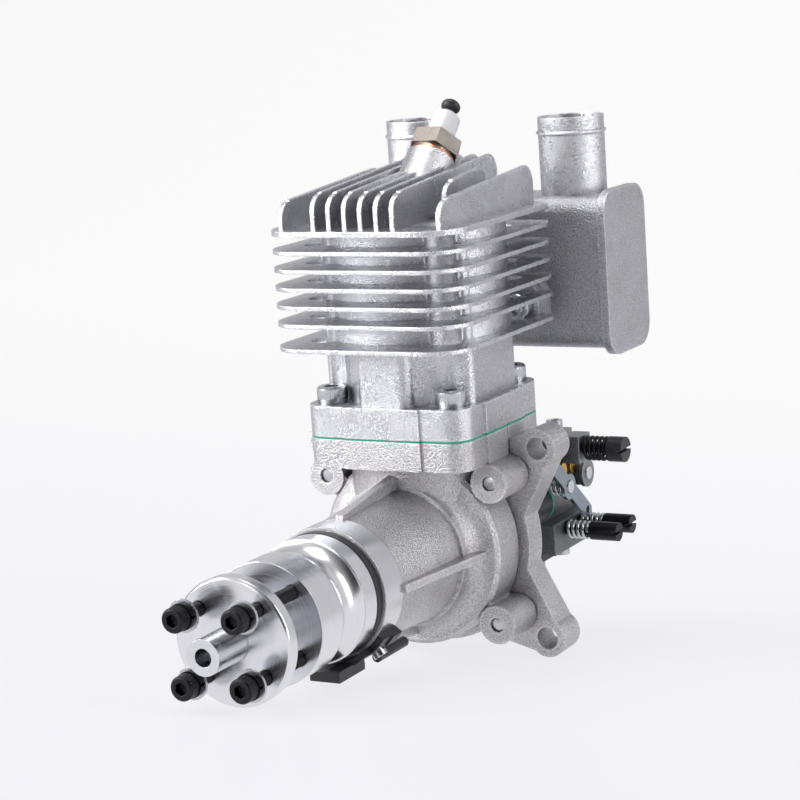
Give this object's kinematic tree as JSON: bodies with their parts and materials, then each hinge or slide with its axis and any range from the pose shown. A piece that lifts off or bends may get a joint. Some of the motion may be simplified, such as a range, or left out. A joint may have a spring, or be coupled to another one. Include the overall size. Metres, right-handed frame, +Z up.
{
  "type": "model aircraft engine",
  "caption": "Air-cooled single-cylinder two-stroke engine for a model aircraft, with a propeller hub, a rear muffler box with upright outlets and a rear carburettor.",
  "frame": {"origin": "crank axis in the plane of the rear faces of the four mounting lugs", "axes": "+Y to the rear, propeller towards -Y, +Z up along the cylinder, +X to the side of the levers"},
  "size_m": [0.0898, 0.1971, 0.1638],
  "materials": {
    "cast_case": "satin, sand-blasted casting",
    "cast_cylinder": "bead-blasted casting",
    "machined": "turned, bright",
    "steel": "ground",
    "bright_zinc": "bright zinc",
    "black_oxide": "black oxide",
    "gasket_green": "matte",
    "gasket_grey": "matte",
    "black_rubber": "matte",
    "black_plastic": "satin",
    "ceramic": "glazed",
    "copper": "copper tone",
    "plug_steel": "warm nickel",
    "muffler": "satin",
    "pipe": "satin",
    "carb_zinc": "dark cast",
    "cover_zinc": "grey cast",
    "brass": "bare",
    "lever_zinc": "blue zinc"
  },
  "bodies": {
    "engine": {"crankcase_front": "cast_case", "crankcase_rear": "cast_case", "crankcase_gasket": "gasket_grey", "crankcase_bolts": "bright_zinc", "cylinder": "cast_cylinder", "base_gasket": "gasket_green", "base_bolts": "bright_zinc", "bearing_outer_rings": "steel", "bearing_balls": "steel", "shaft_seal": "black_rubber", "sensor_housing": "black_plastic", "sensor_screws": "bright_zinc", "plug_shell": "plug_steel", "plug_gasket": "copper", "plug_insulator": "ceramic", "plug_terminal": "black_plastic", "exhaust_gasket": "gasket_grey", "muffler_body": "muffler", "muffler_end_plates": "muffler", "outlet_pipes": "pipe", "muffler_bolts": "bright_zinc", "reed_plate": "black_plastic", "reed_petals": "brass", "intake_gaskets": "gasket_green", "insulator_block": "black_plastic", "carb_bolts": "bright_zinc", "carb_body": "carb_zinc", "pump_cover": "cover_zinc", "metering_cover": "black_plastic", "cover_screws": "bright_zinc", "fuel_fittings": "brass", "throttle_spring": "steel", "adjuster_springs": "steel"},
    "crank": {"crankshaft": "steel", "bearing_inner_rings": "steel", "drive_hub": "machined", "hub_key": "steel", "hub_magnet": "steel", "prop_washer": "machined", "prop_bolts": "black_oxide", "prop_lock_washers": "black_oxide", "prop_flat_washers": "bright_zinc"},
    "piston_group": {"piston": "machined", "piston_rings": "steel", "wrist_pin": "steel", "wrist_pin_clips": "steel"},
    "rod": {"connecting_rod": "steel", "big_end_bearing": "brass", "small_end_bearing": "brass", "crankpin": "steel"},
    "throttle": {"throttle_shaft": "steel", "throttle_disc": "brass", "throttle_lever": "lever_zinc"},
    "choke": {"choke_shaft": "steel", "choke_disc": "brass", "choke_lever": "cover_zinc"},
    "idle_adjuster": {"idle_screw": "black_plastic"},
    "low_adjuster": {"low_needle": "black_oxide"},
    "high_adjuster": {"high_needle": "black_oxide"}
  },
  "joints": [
    {"name": "crank_spin", "type": "hinge", "parent": "engine", "child": "crank", "pos_m": [0, -0.06, 0], "axis": [0, 1, 0], "continuous": true},
    {"name": "piston_stroke", "type": "slide", "parent": "engine", "child": "piston_group", "axis": [0, 0, 1], "range_m": [-0.028, 0]},
    {"name": "rod_swing", "type": "hinge", "parent": "piston_group", "child": "rod", "pos_m": [0, -0.0114, 0.07], "axis": [0, 1, 0], "range_deg": [-14.4, 14.4]},
    {"name": "throttle_turn", "type": "hinge", "parent": "engine", "child": "throttle", "pos_m": [0, 0.0206, 0.01], "axis": [1, 0, 0], "range_deg": [0, 50], "stiffness_Nm_per_rad": 0.01, "springref_deg": -17.19},
    {"name": "choke_turn", "type": "hinge", "parent": "engine", "child": "choke", "pos_m": [0, 0.0396, 0.01], "axis": [1, 0, 0], "range_deg": [0, 75]},
    {"name": "idle_turn", "type": "hinge", "parent": "engine", "child": "idle_adjuster", "pos_m": [0.035, 0.03, 0.0202], "axis": [1, 0, 0], "range_deg": [-360, 360]},
    {"name": "low_turn", "type": "hinge", "parent": "engine", "child": "low_adjuster", "pos_m": [0.035, 0.026, -0.0048], "axis": [1, 0, 0], "range_deg": [-360, 360]},
    {"name": "high_turn", "type": "hinge", "parent": "engine", "child": "high_adjuster", "pos_m": [0.035, 0.0365, -0.0048], "axis": [1, 0, 0], "range_deg": [-360, 360]}
  ]
}
